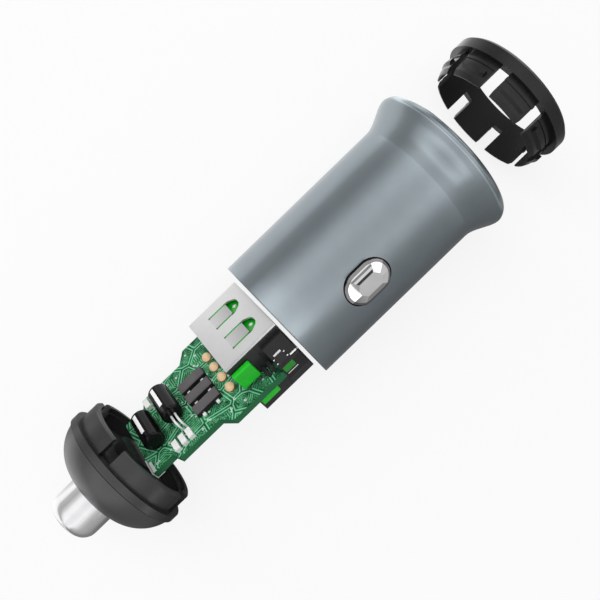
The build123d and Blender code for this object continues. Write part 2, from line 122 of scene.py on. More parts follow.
class Shading:
    """A node tree being filled: node() adds any node that isn't plain maths."""

    def __init__(self, owner):
        owner.use_nodes = True
        self.owner = owner
        self.tree = owner.node_tree
        self.tree.nodes.clear()

    def node(self, kind, settings=None, out=0, **inputs):
        """A node of that kind. Settings come first, then sockets by name, or i0, i1 by number."""
        made = self.tree.nodes.new("ShaderNode" + kind)
        for key, setting in (settings or {}).items():
            if key == "stops":
                ramp = made.color_ramp
                ramp.elements.remove(ramp.elements[1])
                ramp.elements[0].position = setting[0][0]
                ramp.elements[0].color = (*setting[0][1], 1.0)
                for place, colour in setting[1:]:
                    ramp.elements.new(place).color = (*colour, 1.0)
            else:
                setattr(made, key, setting)
        for key, item in inputs.items():
            socket = made.inputs[int(key[1:]) if key[1:].isdigit() else key.replace("_", " ")]
            if isinstance(item, Value):
                self.tree.links.new(item.socket, socket)
            else:
                socket.default_value = item
        return Value(self.tree, made.outputs[out]) if made.outputs else None


class Finish(Shading):
    """A new material."""

    def __init__(self, name):
        super().__init__(bpy.data.materials.new(name))

    def place(self):
        """Object coordinates, in metres, the same as the frame's."""
        return self.node("TexCoord", out="Object")

    def noise(self, size, detail=2.0):
        """Soft noise with features of about that size, in mm."""
        return self.node("TexNoise", Scale=1 / (size * MM), Detail=detail, Vector=self.place())

    def ramp(self, by, *stops):
        """A colour that runs through (place, colour) stops as a value goes from 0 to 1."""
        return self.node("ValToRGB", {"stops": stops}, Fac=by)

    def mix(self, factor, first, second):
        """One colour over another."""
        return self.node("Mix", {"data_type": "RGBA"}, out=2, i0=factor, i6=first, i7=second)

    def bump(self, height, strength, depth):
        """A relief of that depth, in mm."""
        return self.node("Bump", Strength=strength, Distance=depth * MM, Height=height)

    def surface(self, **inputs):
        """Closes the material with these inputs of its Principled shader."""
        self.node("OutputMaterial", Surface=self.node("BsdfPrincipled", **inputs))
        return self.owner

    def glow(self, strength):
        """Closes the material as something that shines white."""
        shining = self.node("Emission", Color=(1, 1, 1, 1), Strength=strength)
        self.node("OutputMaterial", Surface=shining)
        return self.owner


def flat_mesh(name, faces, finish):
    """A sheet of four-cornered faces, in metres, as an object."""
    mesh = bpy.data.meshes.new(name)
    corners = [corner for face in faces for corner in face]
    mesh.from_pydata(corners, [], [tuple(range(4 * n, 4 * n + 4)) for n in range(len(faces))])
    mesh.materials.append(finish)
    sheet = bpy.data.objects.new(name, mesh)
    bpy.context.collection.objects.link(sheet)
    return sheet


# The photo's side and the camera's focal length, both in pixels, and the pixel straight below
# the camera.
photo_side = 600
focal_pixels = 830
below_across, below_down = 276.7, 319.8
sensor_width = 36
camera_height = 123.2 * MM
camera_turn = math.radians(44.1)
camera_data = bpy.data.cameras.new("camera")
camera_data.sensor_width = sensor_width
camera_data.lens = sensor_width * focal_pixels / photo_side
camera_data.shift_x = (photo_side / 2 - below_across) / photo_side
camera_data.shift_y = (below_down - photo_side / 2) / photo_side
camera_data.clip_start = 5 * MM
camera_data.clip_end = 20
camera = bpy.data.objects.new("camera", camera_data)
camera.location = (0, 0, camera_height)
camera.rotation_euler = (0, 0, -camera_turn)
bpy.context.collection.objects.link(camera)
bpy.context.scene.camera = camera
bpy.context.scene.view_settings.view_transform = "Standard"

table_half = 3.0
table_level = cad_low.z - 0.02 * MM
table_brightening = 0.82
table_white = Finish("table_white")
seen = table_white.node("LightPath", out="Is Camera Ray")
table_lit = table_white.node("BsdfDiffuse", Color=(0.86, 0.86, 0.87, 1))
table_glow = table_white.node("Emission", Color=(1, 1, 1, 1), Strength=1.0)
table_white.node("OutputMaterial", Surface=table_white.node(
    "MixShader", i0=seen * table_brightening, i1=table_lit, i2=table_glow))
floor = flat_mesh("floor", [[
    (-table_half, -table_half, table_level), (table_half, -table_half, table_level),
    (table_half, table_half, table_level), (-table_half, table_half, table_level),
]], table_white.owner)

room_light = 0.5
room = Shading(bpy.data.worlds.new("room"))
path = room.node("LightPath", out="Is Camera Ray")
seen_white = path.larger(path.also("Is Glossy Ray")).larger(path.also("Is Transmission Ray"))
room.node("OutputWorld", Surface=room.node(
    "Background", Color=(1, 1, 1, 1), Strength=room_light + (1.0 - room_light) * seen_white))
bpy.context.scene.world = room.owner


def softbox(name, place, width, length, watts):
    """A rectangular lamp that points at the charger and lights it without showing in it."""
    data = bpy.data.lights.new(name, "AREA")
    data.shape = "RECTANGLE"
    data.size = width
    data.size_y = length
    data.energy = watts
    lamp = bpy.data.objects.new(name, data)
    lamp.location = place
    lamp.rotation_euler = Vector(place).to_track_quat("Z", "Y").to_euler()
    lamp.visible_glossy = False
    bpy.context.collection.objects.link(lamp)


softbox("overhead", place=(0.0, 0.08, 0.5), width=0.3, length=0.5, watts=1.3)
softbox("left_side", place=(-0.05, 0.4, 0.2), width=0.15, length=0.5, watts=0.5)

# The tent: a round vault over the charger's axis. It is made of flat strips, 4 degrees each,
# down to its foot on either side, and lies just off the table.
tent_radius = 60 * MM
tent_half_length = 0.25
tent_foot = 156
tent_step = 4
tent_lift = 0.05 * MM
# How bright its paper is at each angle round that axis, in degrees. 0 is overhead, and the
# minus side is the left of the view.
tent_bands = [
    (-180, 0.95), (-104, 0.95), (-91, 0.85), (-82, 0.48), (-60, 0.4), (-45, 0.6), (-32, 0.88),
    (-18, 0.92), (0, 0.78), (14, 0.8), (26, 0.9), (40, 0.76), (52, 0.52), (66, 0.4), (100, 0.3),
    (116, 0.2), (180, 0.2),
]
# How bright it is along the axis, in mm.
tent_lengths = [
    (-250, 1.35), (-50, 1.35), (-44, 0.9), (-40, 0.4), (-20, 0.4), (-13, 1.2), (-2, 1.2), (2, 1.0),
    (41, 1.0), (46, 1.9), (54, 1.9), (58, 1.0), (84, 1.0), (88, 1.6), (100, 1.6), (104, 1.0),
    (122, 1.0), (130, 0.5), (250, 0.5),
]
# A dark hem across its top, with a light one beside it, draws the line round the flare. It
# ends where the USB socket, on the left, and the side contact reflect the paper.
hem_lengths = [
    (-250, 1.0), (-22, 1.0), (-20, 0.05), (-5, 0.05), (-4, 1.98), (1, 1.98), (5.5, 1.0),
    (250, 1.0),
]
hem_left = -60
hem_right = 42
tent_paper = Finish("tent_paper")
axes = tent_paper.node("SeparateXYZ", out="Y", Vector=tent_paper.place())
angle = (-axes).math("ARCTAN2", axes.also("Z"))
around = tent_paper.ramp(
    angle / math.tau + 0.5, *[(turn / 360 + 0.5, (tone,) * 3) for turn, tone in tent_bands])


def tone_along(lengths):
    """The paper's brightness along the axis. A ramp stops at 1, so this one holds half."""
    span = 2 * tent_half_length
    halves = [(place * MM / span + 0.5, (tone / 2,) * 3) for place, tone in lengths]
    return tent_paper.ramp(axes.also("X") / span + 0.5, *halves) * 2.0


on_hem = (angle > math.radians(hem_left)) * (angle < math.radians(hem_right))
hem_change = 1.0 + on_hem * (tone_along(hem_lengths) - 1.0)
tent_paper.glow(around * tone_along(tent_lengths) * hem_change)


def tent_edge(turn):
    """A point of the tent's section at that angle. It lies on the table where it meets it."""
    reach = tent_radius
    across, up = -math.sin(turn), math.cos(turn)
    lowest = table_level + tent_lift
    if up * reach < lowest:
        reach = lowest / up
    return across * reach, up * reach


tent_faces = []
for step in range(-tent_foot, tent_foot, tent_step):
    (y_one, z_one), (y_two, z_two) = (
        tent_edge(math.radians(turn)) for turn in (step, step + tent_step))
    tent_faces.append([
        (-tent_half_length, y_one, z_one), (tent_half_length, y_one, z_one),
        (tent_half_length, y_two, z_two), (-tent_half_length, y_two, z_two)])
tent = flat_mesh("tent", tent_faces, tent_paper.owner)


# Small cards for the facets of the upper side contact: two white ones for its rear end and a
# striped one for its long side, so near that it shows in little else.

def card(name, finish, ends, foot, head):
    """A card along the axis between two ends, with the y and z of its lower and upper edge."""
    corners = [(ends[0], *foot), (ends[1], *foot), (ends[1], *head), (ends[0], *head)]
    return flat_mesh(name, [[Vector(corner) * MM for corner in corners]], finish)


white_card = Finish("white_card").glow(1.6)
end_card = card("end_card", white_card, (-54, -38), foot=(-55, 13), head=(-55, 27))
high_card = card("high_card", white_card, (-42.5, -35.5), foot=(-26.8, 52.2), head=(-20, 55))
stripe_from, stripe_to = -3.74, -3.36
stripes = Finish("striped_card")
stripe_place = stripes.node("SeparateXYZ", out="Y", Vector=stripes.place())
past_stripe = stripe_place > stripe_to * MM
light_stripe = (stripe_place > stripe_from * MM) * (stripe_place < stripe_to * MM)
striped_card = stripes.glow(0.05 + 0.65 * light_stripe + 0.2 * past_stripe)
side_card = card("side_card", striped_card, (10.8, 14.6), foot=(-4.2, 12), head=(-3.0, 12))
for prop in (tent, end_card, high_card, side_card):
    prop.visible_camera = False
    prop.visible_diffuse = False
    prop.visible_shadow = False
    prop.visible_transmission = False


# Barrel. A turned aluminium tube, anodised grey-blue with a satin face, belled out at the
# mouth where the snap ring sits.

def paint(finish, *names):
    """Gives CAD nodes their finish."""
    for name in names:
        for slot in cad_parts[name].material_slots:
            slot.material = finish


anodised = Finish("anodised_blue_grey")
cloud = anodised.noise(3.0)
pores = anodised.noise(0.12, 3.0)
anodised_tone = anodised.ramp(cloud, (0.3, (0.325, 0.375, 0.405)), (0.7, (0.345, 0.395, 0.425)))
paint(anodised.surface(
    Base_Color=anodised_tone, Metallic=1.0, Roughness=0.21 + 0.05 * pores,
    Normal=anodised.bump(pores, 0.06, 0.02)), "barrel")


# Side contacts and centre pin. Pressed and turned brass, nickelled and chromed bright.
# Springs hold them out, and they slide in when the charger goes into its socket.

chrome = Finish("chrome")
smear = chrome.noise(2.5)
paint(chrome.surface(
    Base_Color=chrome.ramp(smear, (0.3, (0.7, 0.7, 0.71)), (0.7, (0.76, 0.76, 0.77))),
    Metallic=1.0, Roughness=0.06 + 0.06 * smear), "centre_pin")

contact_place = 12.6
contact_angle = math.radians(28.5)
contact_half_length = 3.8
contact_half_width = 2.75
skirt_width = 0.55
rim_width = 0.16

button = Finish("button_chrome")
smear = button.noise(2.0)
spot = button.node("SeparateXYZ", out="X", Vector=button.place())
straight_half = contact_half_length - contact_half_width
from_end = (abs(spot - contact_place * MM) - straight_half * MM).larger(0.0)
sideways = spot.also("Y") * math.cos(contact_angle) + spot.also("Z") * math.sin(contact_angle)
outward = (from_end * from_end + sideways * sideways).math("SQRT")
# The skirt round each button is painted dark grey, a painted shade, and its outer rim near black,
# a painted shadow where it meets the bore.
skirt_painted_shade = outward > (contact_half_width - skirt_width) * MM
rim = outward > (contact_half_width - rim_width) * MM
button_tone = button.ramp(smear, (0.3, (0.88, 0.88, 0.89)), (0.7, (0.95, 0.95, 0.96)))
button_tone = button.mix(skirt_painted_shade, button_tone, (0.33, 0.32, 0.32, 1))
button_tone = button.mix(rim, button_tone, (0.03, 0.03, 0.032, 1))
paint(button.surface(
    Base_Color=button_tone, Metallic=1.0, Roughness=0.04 + 0.03 * smear + 0.2 * skirt_painted_shade),
    "side_contact_upper", "side_contact_lower")


# Ground spring and pin spring. The ground spring is a strip of spring steel bent round the
# bore behind both side contacts. The pin spring is coiled from drawn wire.

spring_steel = Finish("spring_steel")
drawn = spring_steel.noise(0.5, 3.0)
paint(spring_steel.surface(
    Base_Color=spring_steel.ramp(drawn, (0.3, (0.46, 0.46, 0.47)), (0.7, (0.6, 0.6, 0.61))),
    Metallic=1.0, Roughness=0.22 + 0.15 * drawn), "ground_spring", "pin_spring")


# Snap ring, nose cap, spring guide and port frame. Moulded in black plastic: the ring and
# the frame glossier, the nose cap with a fine spark-eroded face.

def moulded(name, dark, light, rough, grain=0.4, shine=0.5):
    """Plastic with a grain of that size, in mm."""
    plastic = Finish(name)
    speckle = plastic.noise(grain)
    return plastic.surface(
        Base_Color=plastic.ramp(speckle, (0.3, dark), (0.7, light)),
        Roughness=rough + 0.1 * speckle, Specular_IOR_Level=shine,
        Normal=plastic.bump(speckle, 0.08, 0.03))


# The snap ring is painted darker inside its claws, a painted shade, and is duller there.
claw_inner_radius = 8.94
ring_black = Finish("ring_black")
speckle = ring_black.noise(0.4)
from_axis = ring_black.node("SeparateXYZ", out="Y", Vector=ring_black.place())
ring_radius = (from_axis * from_axis + from_axis.also("Z") * from_axis.also("Z")).math("SQRT")
inside = ring_radius < claw_inner_radius * MM
ring_tone = ring_black.ramp(speckle, (0.3, (0.007, 0.007, 0.0075)), (0.7, (0.011, 0.011, 0.0115)))
paint(ring_black.surface(
    Base_Color=ring_black.mix(inside, ring_tone, (0.003, 0.003, 0.003, 1)),
    Roughness=0.27 + 0.06 * speckle + 0.3 * inside, Specular_IOR_Level=0.4,
    Normal=ring_black.bump(speckle, 0.08, 0.03)), "front_ring")

nose_grey = moulded(
    "nose_grey", (0.013, 0.013, 0.014), (0.018, 0.018, 0.019), rough=0.3, grain=0.25, shine=1.0)
guide_black = moulded("guide_black", (0.012, 0.012, 0.012), (0.018, 0.018, 0.018), rough=0.45)
frame_black = moulded("frame_black", (0.012, 0.011, 0.012), (0.017, 0.015, 0.017), rough=0.5)
paint(nose_grey, "nose_cap")
paint(guide_black, "spring_guide")
paint(frame_black, "port_frame")


# Circuit board. Glass laminate under a green lacquer, with copper tracks that show through
# it as paler lines, and bare laminate at its cut edges.

board_turn = math.radians(47)
board_half = 0.6


class BoardFinish(Finish):
    """A finish that knows its place on the board: along it, across it and off its middle."""

    def __init__(self, name):
        super().__init__(name)
        self.flat = self.node(
            "Mapping", {"vector_type": "POINT"}, Rotation=(board_turn, 0, 0), Vector=self.place())
        self.along = self.node("SeparateXYZ", out="X", Vector=self.flat)
        self.across = -self.along.also("Y")
        self.height = self.along.also("Z")

    def within(self, value, low, high):
        """1 between two distances in mm, 0 elsewhere."""
        return (value > low * MM) * (value < high * MM)


# Thin tracks run straight or curled in patches, and broad ones run between larger areas.
patch_size = 1.7
track_pitch = 0.36
track_half_share = 0.17
straight_share = 0.55
bare_share = 0.12
curl = 13.0
area_size = 3.4
area_rim = 0.15
broad_track = 0.075
broad_track_half = 0.03
pad_half = 0.17
pad_least = 0.62
face_share = 0.96

lacquer = BoardFinish("green_lacquer")
patch = lacquer.node(
    "TexVoronoi", {"voronoi_dimensions": "2D"}, out="Position", Vector=lacquer.flat,
    Scale=1 / (patch_size * MM), Randomness=1.0)
centre = lacquer.node("SeparateXYZ", out="X", Vector=patch)
chance = lacquer.node("SeparateColor", out="Red", Color=patch.also("Color"))
heading = (chance * 4.0).math("FLOOR") * (math.pi / 4)
bend = lacquer.noise(1.3, 1.0)
ruled = lacquer.along * heading.math("COSINE") + lacquer.across * heading.math("SINE")
straight = ruled / (track_pitch * MM) + chance * 5.3
curled = bend * curl
choice = chance.also("Green")
lane = straight * (choice < straight_share) + curled * (choice > straight_share)
line = (abs(lane.math("FRACT") - 0.5) < track_half_share) * (choice > bare_share)
border = lacquer.node(
    "TexVoronoi", {"voronoi_dimensions": "2D", "feature": "DISTANCE_TO_EDGE"},
    Vector=lacquer.flat, Scale=1 / (area_size * MM), Randomness=1.0)
main_track = abs(border - broad_track) < broad_track_half
track = (line * (border > area_rim)).larger(main_track)
pad_reach = abs(lacquer.along - centre).larger(abs(lacquer.across + centre.also("Y")))
pad = (pad_reach < pad_half * MM) * (chance.also("Blue") > pad_least)
depth = lacquer.noise(1.1, 3.0)
lacquer_ground = lacquer.ramp(
    depth, (0.32, (0.003, 0.035, 0.013)), (0.5, (0.009, 0.11, 0.042)), (0.68, (0.03, 0.23, 0.095)))
track_green = lacquer.ramp(depth, (0.3, (0.035, 0.25, 0.1)), (0.7, (0.2, 0.57, 0.3)))
board_face = lacquer.mix(track, lacquer_ground, track_green)
board_face = lacquer.mix(main_track * 0.6, board_face, (0.2, 0.62, 0.36, 1))
board_face = lacquer.mix(pad, board_face, (0.42, 0.66, 0.5, 1))
cut_edge = abs(lacquer.height) < board_half * face_share * MM
board_face = lacquer.mix(cut_edge, board_face, (0.02, 0.14, 0.055, 1))
paint(lacquer.surface(
    Base_Color=board_face, Roughness=0.42 + 0.1 * depth, Specular_IOR_Level=0.2,
    Normal=lacquer.bump(track, 0.25, 0.03)), "circuit_board")


# USB sockets. Each is a folded shell of plated steel with two sprung tabs, round a green
# insulator with four gilt blades and two nubs under the tabs. The shell's sides are painted near
# black, a painted dark reflection, its tabs are painted darker towards their tips, a painted
# shade, and the nubs are painted near white, a painted highlight.

tab_root = 7.2
tab_tip = 3.9
tab_middle = 2.7
tab_half = 1.25
shell_side = 6.5
shell_top = 5.4

plated = BoardFinish("plated_steel")
wear = plated.noise(2.2, 3.0)
# The shell's sides are painted near black, a painted dark reflection of the same plated steel.
side = abs(plated.across) > shell_side * MM
beside_tab = abs(abs(plated.across) - tab_middle * MM)
# The tabs are painted darker towards their tips, a painted shade standing for their inward bend.
on_tab = plated.within(plated.along, -tab_root, -tab_tip) * (
    beside_tab < tab_half * MM) * (abs(plated.height) > shell_top * MM)
tab_painted_shade = (plated.along + tab_root * MM) / ((tab_root - tab_tip) * MM)
shell_tone = plated.ramp(wear, (0.3, (0.74, 0.735, 0.74)), (0.7, (0.78, 0.775, 0.78)))
shell_tone = plated.mix(on_tab * (0.15 + 0.45 * tab_painted_shade), shell_tone, (0.3, 0.3, 0.31, 1))
shell_tone = plated.mix(side, shell_tone, (0.035, 0.035, 0.037, 1))
paint(plated.surface(
    Base_Color=shell_tone, Metallic=0.75 - 0.5 * side, Roughness=0.32 + 0.1 * wear - 0.1 * side,
    Normal=plated.bump(wear, 0.04, 0.02)), "usb_shell_upper", "usb_shell_lower")


def glossy(name, colour, rough, coat=0.4):
    """Smooth plastic that is a little uneven in tone."""
    plastic = Finish(name)
    unevenness = plastic.noise(1.2)
    pale = tuple(min(1.0, part * 1.12) for part in colour)
    return plastic.surface(
        Base_Color=plastic.ramp(unevenness, (0.35, colour), (0.65, pale)),
        Roughness=rough + 0.06 * unevenness, Coat_Weight=coat)


port_green = glossy("port_green", (0.004, 0.4, 0.012), 0.2)
paint(port_green, "usb_tongue_upper", "usb_tongue_lower")

gilt = Finish("gilt")
tarnish = gilt.noise(1.5)
paint(gilt.surface(
    Base_Color=gilt.ramp(tarnish, (0.3, (0.8, 0.58, 0.26)), (0.7, (0.88, 0.68, 0.36))),
    Metallic=1.0, Roughness=0.18 + 0.1 * tarnish), "usb_blades_upper", "usb_blades_lower")


class BoardPiece:
    """A piece of the scene that is made flat on the board and laid with it, in mm."""

    def __init__(self):
        self.builder = bmesh.new()

    def shaped(self, made, place, across, height, scale, tilt=0.0):
        """Sizes new corners and puts them in their place."""
        move = Matrix.Translation(Vector((-place, -across, height)) * MM)
        turn = Matrix.Rotation(tilt, 4, "X")
        size = Matrix.Diagonal((*(part * MM for part in scale), 1))
        bmesh.ops.transform(self.builder, matrix=move @ turn @ size, verts=made)

    def block(self, place, across, height, length, width, thickness, bevel=0.05, tilt=0.0):
        """A block with eased edges that stands on that height."""
        made = bmesh.ops.create_cube(self.builder, size=1.0)["verts"]
        self.shaped(made, place, across, height + thickness / 2 * math.cos(tilt),
                    (length, width, thickness), tilt)
        edges = list({edge for vert in made for edge in vert.link_edges})
        bmesh.ops.bevel(
            self.builder, geom=edges, offset=bevel * MM, segments=2, affect="EDGES", profile=0.5)

    def dome(self, place, across, height, length, width, rise):
        """The upper half of a flattened ball."""
        made = bmesh.ops.create_icosphere(self.builder, subdivisions=3, radius=1.0)["verts"]
        self.shaped(made, place, across, height, (length / 2, width / 2, rise))

    def wire(self, points, radius):
        """A round wire through points on the board, with rounded bends and round ends."""
        data = bpy.data.curves.new("wire", "CURVE")
        data.dimensions = "3D"
        data.bevel_depth = radius * MM
        data.bevel_resolution = 3
        data.use_fill_caps = True
        line = data.splines.new("NURBS")
        line.points.add(len(points) - 1)
        for point, (place, across, height) in zip(line.points, points):
            point.co = (-place * MM, -across * MM, height * MM, 1)
        line.order_u = 3
        line.use_endpoint_u = True
        line.resolution_u = 8
        bent = bpy.data.objects.new("wire", data)
        mesh = bpy.data.meshes.new_from_object(bent)
        self.builder.from_mesh(mesh)
        bpy.data.objects.remove(bent)
        bpy.data.meshes.remove(mesh)

    def finished(self, name, finish, smooth=True):
        """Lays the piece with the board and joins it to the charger."""
        bmesh.ops.transform(
            self.builder, matrix=Matrix.Rotation(-board_turn, 4, "X"), verts=self.builder.verts)
        bmesh.ops.remove_doubles(self.builder, verts=self.builder.verts, dist=1e-7)
        bmesh.ops.recalc_face_normals(self.builder, faces=self.builder.faces)
        mesh = bpy.data.meshes.new(name)
        self.builder.to_mesh(mesh)
        self.builder.free()
        mesh.materials.append(finish)
        if smooth:
            mesh.shade_smooth()
        piece = bpy.data.objects.new(name, mesh)
        bpy.context.collection.objects.link(piece)
        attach(piece, "charger")
        return piece


# The nubs are painted near white, a painted highlight for the glint on the green tongue in each
# window.
nub_highlight = Finish("nub_tinned")
nub_sheen = nub_highlight.noise(0.4)
nub_face = nub_highlight.surface(
    Base_Color=(0.85, 0.86, 0.85, 1), Metallic=0.3, Roughness=0.15 + 0.1 * nub_sheen)
nub_place = 3.1
nub_shift = -0.75
nub_size = (0.75, 0.62, 0.22)
tongue_top = 4.67
rib_place = (tab_root + tab_tip) / 2
rib_size = (tab_root - tab_tip - 0.5, 0.25, 1.0)
slit_offset = 1.4
for socket, way in (("upper", 1), ("lower", -1)):
    nubs = BoardPiece()
    ribs = BoardPiece()
    rib_foot = way * (tongue_top + rib_size[2] / 2) - rib_size[2] / 2
    for across in (-tab_middle, tab_middle):
        nubs.dome(nub_place, across + nub_shift, way * tongue_top, *nub_size)
        for offset in (-slit_offset, slit_offset):
            ribs.block(rib_place, across + offset, rib_foot, *rib_size, bevel=0.03)
    nubs.finished(f"tongue_nubs_{socket}", nub_face)
    ribs.finished(f"tongue_ribs_{socket}", port_green, smooth=False)


# Port frame fittings. A small sense chip on the frame's slope has four bent legs, with a
# chip resistor beside it, a tinned tag in the slot, and a green lamp and a rail at the rim.

slope_top = (7.2, 4.5)
slope_foot = (9.3, 1.3)
slope_run = slope_foot[0] - slope_top[0]
slope_fall = slope_top[1] - slope_foot[1]
slope_tilt = math.atan2(slope_fall, slope_run)


def on_slope(drop, lift):
    """A place on the frame's slope, that share of the way down and that far off it."""
    across = slope_top[0] + slope_run * drop + lift * math.sin(slope_tilt)
    height = slope_top[1] - slope_fall * drop + lift * math.cos(slope_tilt)
    return across, height


tinned = Finish("tinned")
frost = tinned.noise(0.8)
tinned_face = tinned.surface(
    Base_Color=tinned.ramp(frost, (0.3, (0.88, 0.88, 0.88)), (0.7, (0.95, 0.95, 0.95))),
    Metallic=0.25, Roughness=0.2 + 0.12 * frost)
paint(tinned_face, "capacitor_leads", "tail_strip")

chip_middle = 3.25
leg_reach = 0.9
leg_size = (0.3, 0.18, 0.12)
chip_legs = BoardPiece()
for end in (-1, 1):
    for drop in (0.58, 0.78):
        chip_legs.block(chip_middle + end * leg_reach, *on_slope(drop, 0.02), *leg_size,
                        bevel=0.03, tilt=slope_tilt)
chip_legs.finished("sense_chip_legs", tinned_face, smooth=False)

chip_black = moulded("chip_black", (0.016, 0.014, 0.016), (0.022, 0.02, 0.022), 0.55, 0.8)
paint(chip_black, "sense_chip")

resistor_white = moulded("resistor_white", (0.78, 0.78, 0.76), (0.88, 0.88, 0.87), 0.35, 0.8)
bar_place = 3.2
bar_size = (1.3, 0.3, 0.18)
bar = BoardPiece()
bar.block(bar_place, *on_slope(0.47, 0.01), *bar_size, bevel=0.04, tilt=slope_tilt)
bar.finished("slope_resistor", resistor_white, smooth=False)

tag_place = 1.45
tag_size = (1.15, 0.34, 0.4)
tag = BoardPiece()
tag.block(tag_place, *on_slope(0.85, -0.3), *tag_size, bevel=0.04, tilt=slope_tilt)
tag.finished("slot_tag", tinned_face, smooth=False)

lamp_green = glossy("lamp_green", (0.003, 0.25, 0.008), 0.3)
lamp_spot = (3.2, 9.22, 0.05)
lamp_size = (1.9, 0.2, 1.2)
lamp = BoardPiece()
lamp.block(*lamp_spot, *lamp_size)
lamp.finished("rim_lamp", lamp_green, smooth=False)

rail_spot = (3.1, 9.24, -0.42)
rail_size = (1.9, 0.14, 0.16)
rail = BoardPiece()
rail.block(*rail_spot, *rail_size, bevel=0.03)
rail.finished("rim_rail", tinned_face, smooth=False)


# Capacitors. Aluminium cans in glossy black sleeves, lying across the board on their leads.
# The rear one's leads bend down to the board at its far end.

can_height = 2.35
can_length = 6.0
# Each sleeve carries a pale strip, a painted highlight, set at a fixed angle round the can and
# along part of its length.
highlight_turn = math.radians(12)
highlight_half = math.radians(11)
highlight_start = 0.55
highlight_end = 4.5
for name, can_place, can_across in (("rear", 24.75, 0.2), ("front", 20.4, -1.3)):
    sleeve = BoardFinish(f"capacitor_sleeve_{name}")
    film = sleeve.noise(1.5)
    round_can = (-(sleeve.along + can_place * MM)).math("ARCTAN2", sleeve.height - can_height * MM)
    from_end = sleeve.across - (can_across - can_length / 2) * MM
    painted_highlight_strip = (abs(round_can - highlight_turn) < highlight_half) * sleeve.within(
        from_end, highlight_start, highlight_end)
    sleeve_tone = sleeve.ramp(film, (0.3, (0.003, 0.003, 0.003)), (0.7, (0.006, 0.006, 0.006)))
    paint(sleeve.surface(
        Base_Color=sleeve.mix(painted_highlight_strip, sleeve_tone, (0.93, 0.93, 0.93, 1)),
        Roughness=0.07 + 0.04 * film, Specular_IOR_Level=0.25), f"capacitor_{name}")

lead_radius = 0.18
lead_bends = ((-2.6, 2.5), (-3.4, 2.5), (-3.9, 2.5), (-4.2, 2.1), (-4.2, 1.4), (-4.2, 0.6))
rear_leads = BoardPiece()
for place in (24.4, 25.1):
    rear_leads.wire([(place, across, height) for across, height in lead_bends], lead_radius)
rear_leads.finished("rear_capacitor_leads", tinned_face)


# Driver chips. Three flat packages in a row, each with two tinned legs that show beyond its
# higher side.

chip_offsets = (-2.1, 0.65, 3.4)
chip_half_width = 0.96
chip_top = 1.48
for number, offset in enumerate(chip_offsets):
    chip = BoardFinish(f"driver_chip_{number + 1}")
    haze = chip.noise(1.5)
    leg = abs(chip.across - offset * MM) > chip_half_width * MM
    body_tone = chip.ramp(haze, (0.3, (0.094, 0.086, 0.092)), (0.7, (0.112, 0.104, 0.11)))
    # The chips' sides are painted near black, a painted shade in the gaps between them.
    wall_painted_shade = chip.height < chip_top * MM
    body_tone = chip.mix(wall_painted_shade, body_tone, (0.012, 0.011, 0.012, 1))
    paint(chip.surface(
        Base_Color=chip.mix(leg, body_tone, (0.93, 0.94, 0.93, 1)),
        Roughness=0.62 - 0.3 * leg, Specular_IOR_Level=0.3), f"driver_chip_{number + 1}")


# Solder joints. Four copper-coloured beads in a row, which hold the upper socket's blades to
# oval pads, with a dark rim painted round the foot of each, a painted shadow.

joint_place = 11.6
joint_first = -4.1
joint_pitch = 2.7
bead_foot = 0.5
bead_size = (1.62, 2.1, 0.72)
shadow_top = 0.78

solder = BoardFinish("solder_joint")
dull = solder.noise(0.7)
# The dark rim round each bead's foot is a painted shadow.
foot_painted_shadow = abs(solder.height) < shadow_top * MM
solder_tone = solder.ramp(dull, (0.3, (0.74, 0.5, 0.29)), (0.7, (0.82, 0.6, 0.37)))
solder_face = solder.surface(
    Base_Color=solder.mix(foot_painted_shadow, solder_tone, (0.22, 0.1, 0.045, 1)),
    Roughness=0.45 + 0.1 * dull, Specular_IOR_Level=0.3)
paint(solder_face, "solder_joints")

beads = BoardPiece()
for number in range(4):
    beads.dome(joint_place, joint_first + number * joint_pitch, bead_foot, *bead_size)
bead_piece = beads.finished("solder_beads", solder_face)
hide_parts("solder_joints")


# Chip resistors. White ceramic blocks soldered to the board by a tinned cap at each end, three
# in a row and one on the other side of the capacitors.

lacquer_top = 0.61
cap_offset = 0.83
cap_size = (0.94, 0.26, 0.79)
resistor_spots = ((20.15, 5.5), (21.45, 5.5), (22.8, 5.5), (23.1, -5.4))

paint(resistor_white, "chip_resistors")
caps = BoardPiece()
for place, across in resistor_spots:
    for end in (-1, 1):
        caps.block(place, across + end * cap_offset, lacquer_top, *cap_size, bevel=0.06)
caps.finished("resistor_caps", tinned_face, smooth=False)


# Chip capacitors. Two dark ceramic blocks soldered between the upright fuse and the port
# frame, the front one taller.

edge_length, edge_width = 0.6, 1.5
edge_parts = BoardPiece()
for place, across, tall in ((6.1, 7.5, 1.1), (5.1, 7.7, 1.6)):
    edge_parts.block(place, across, lacquer_top, edge_length, edge_width, tall, bevel=0.06)
edge_parts.finished("edge_capacitors", chip_black, smooth=False)


# Tail strip. Tinned sheet folded round the end of the board's tail and soldered there. Its top
# leaf lies on the lacquer.

leaf_spot = (27.55, 4.75, 0.605)
leaf_size = (0.5, 2.1, 0.09)
leaf = BoardPiece()
leaf.block(*leaf_spot, *leaf_size, bevel=0.03)
leaf.finished("tail_strip_leaf", tinned_face, smooth=False)


# Fuses. Two resettable fuses in bright green epoxy, one upright beside the upper socket and
# one flat under the edge of the board.

leg_top = 1.62
epoxy = BoardFinish("fuse_green")
pooling = epoxy.noise(1.2)
# The legs and foot of the upright fuse, up to leg_top, are painted dark, a painted shade under its
# body.
leg = epoxy.within(epoxy.height, 0.0, leg_top)
epoxy_tone = epoxy.ramp(pooling, (0.35, (0.006, 0.5, 0.014)), (0.65, (0.007, 0.56, 0.016)))
paint(epoxy.surface(
    Base_Color=epoxy.mix(leg, epoxy_tone, (0.05, 0.09, 0.06, 1)),
    Roughness=0.35 + 0.06 * pooling, Coat_Weight=0.15), "fuse_upright", "fuse_flat")


